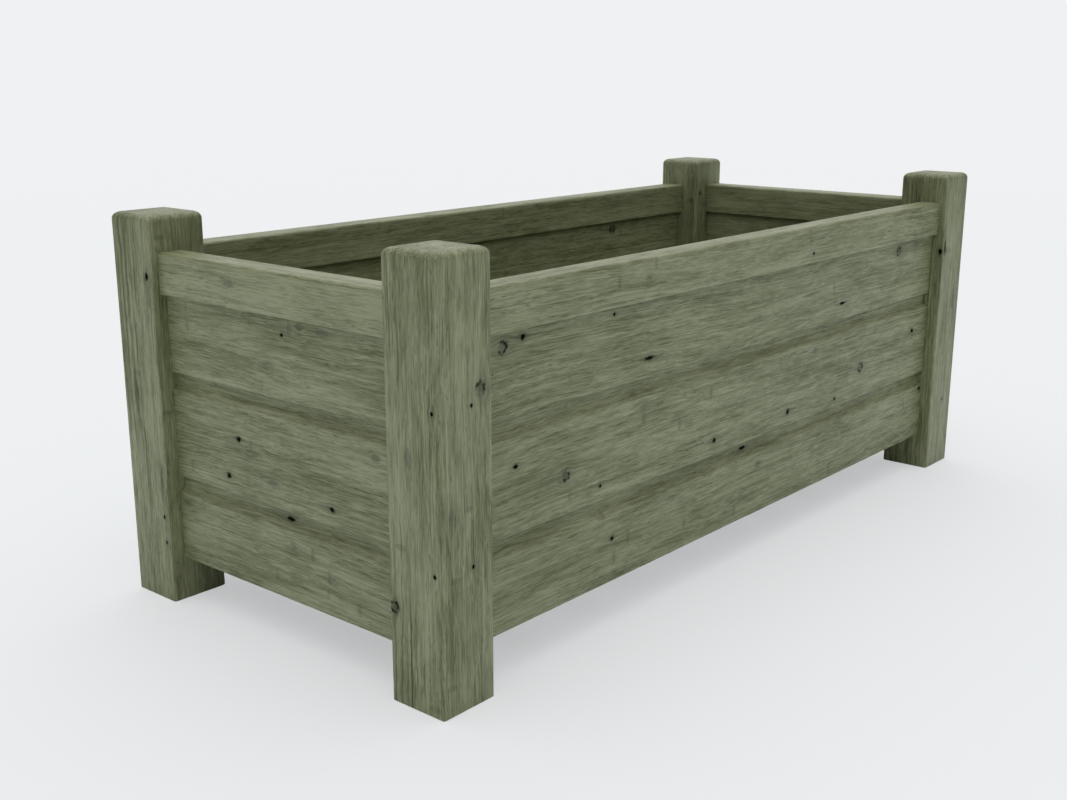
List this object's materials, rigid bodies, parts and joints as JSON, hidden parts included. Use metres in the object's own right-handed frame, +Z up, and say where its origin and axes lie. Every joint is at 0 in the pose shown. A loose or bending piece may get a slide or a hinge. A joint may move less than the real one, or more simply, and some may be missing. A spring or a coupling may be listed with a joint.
{
  "type": "raised planter",
  "caption": "Long rectangular timber planter with square corner posts as short legs, top rails, lapped wall boards and a slatted floor.",
  "frame": {"origin": "on the ground under the middle of the planter", "axes": "+X along the length to the right, +Y from the front to the back, +Z up"},
  "size_m": [1.11, 0.5, 0.44],
  "materials": {
    "stained_timber": "planed softwood in a matt sage green stain, grain and knots showing through",
    "floor_timber": "planed pressure-treated softwood, unstained",
    "screw_steel": "passivated steel, dull"
  },
  "bodies": {
    "root": {"post_front_left": "stained_timber", "post_front_right": "stained_timber", "post_back_left": "stained_timber", "post_back_right": "stained_timber", "rail_front": "stained_timber", "rail_back": "stained_timber", "rail_left": "stained_timber", "rail_right": "stained_timber", "board_front_bottom": "stained_timber", "board_front_middle": "stained_timber", "board_front_top": "stained_timber", "board_back_bottom": "stained_timber", "board_back_middle": "stained_timber", "board_back_top": "stained_timber", "board_left_bottom": "stained_timber", "board_left_middle": "stained_timber", "board_left_top": "stained_timber", "board_right_bottom": "stained_timber", "board_right_middle": "stained_timber", "board_right_top": "stained_timber", "bearer_front": "floor_timber", "bearer_back": "floor_timber", "bearer_left": "floor_timber", "bearer_right": "floor_timber", "floor_slat_1": "floor_timber", "floor_slat_2": "floor_timber", "floor_slat_3": "floor_timber", "floor_slat_4": "floor_timber", "floor_slat_5": "floor_timber", "floor_slat_6": "floor_timber", "floor_slat_7": "floor_timber", "floor_slat_8": "floor_timber", "floor_slat_9": "floor_timber", "floor_slat_10": "floor_timber", "rail_screws": "screw_steel", "bearer_screws": "screw_steel", "slat_screws": "screw_steel"}
  },
  "joints": []
}
